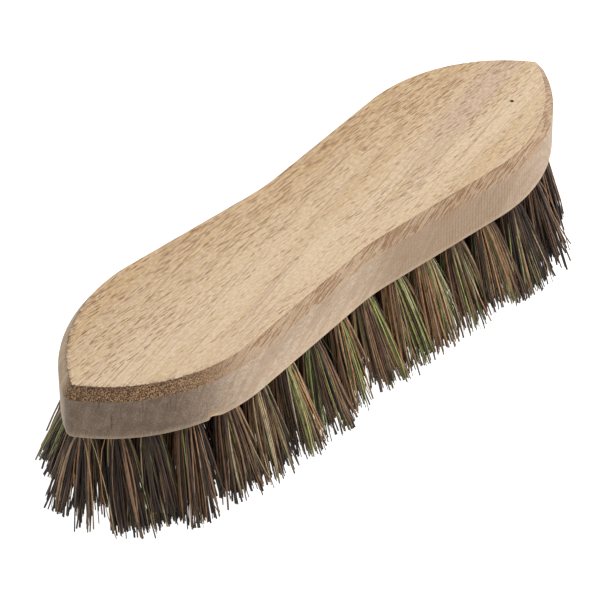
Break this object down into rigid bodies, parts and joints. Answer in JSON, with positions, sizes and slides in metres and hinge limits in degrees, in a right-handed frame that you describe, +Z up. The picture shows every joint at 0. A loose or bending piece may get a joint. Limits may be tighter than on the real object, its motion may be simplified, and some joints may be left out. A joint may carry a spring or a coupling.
{
  "type": "scrub brush",
  "caption": "Hand scrub brush: pointed, waisted wooden stock with a chamfered top edge, filled underneath with outward-splayed tufts of mixed stiff plant fibres.",
  "frame": {"origin": "under the middle of the brush, in the plane of the trimmed bristle tips", "axes": "+X along the stock, +Z up from the bristle tips to the stock's flat top"},
  "size_m": [0.2364, 0.08, 0.054],
  "materials": {
    "wood": "bare, sanded beech with short dark flecks along the grain",
    "bristle": "stiff plant fibres, dark brown mixed with green and tan ones",
    "anchor_wire": "flat steel wire, cut to length"
  },
  "bodies": {
    "root": {"wooden_stock": "wood", "tuft_row_01": "bristle", "tuft_row_02": "bristle", "tuft_row_03": "bristle", "tuft_row_04": "bristle", "tuft_row_05": "bristle", "tuft_row_06": "bristle", "tuft_row_07": "bristle", "tuft_row_08": "bristle", "tuft_row_09": "bristle", "tuft_row_10": "bristle", "tuft_row_11": "bristle", "tuft_row_12": "bristle", "tuft_row_13": "bristle", "tuft_row_14": "bristle", "tuft_row_15": "bristle", "tuft_row_16": "bristle", "tuft_row_17": "bristle", "tuft_row_18": "bristle", "tuft_row_19": "bristle", "tuft_row_20": "bristle", "tuft_row_21": "bristle", "tuft_row_22": "bristle", "tuft_row_23": "bristle", "tuft_row_24": "bristle", "tuft_row_25": "bristle", "tuft_row_26": "bristle", "tuft_row_27": "bristle", "tuft_row_28": "bristle", "tuft_row_29": "bristle", "tuft_row_30": "bristle", "tuft_row_31": "bristle", "tuft_anchors": "anchor_wire"}
  },
  "joints": []
}
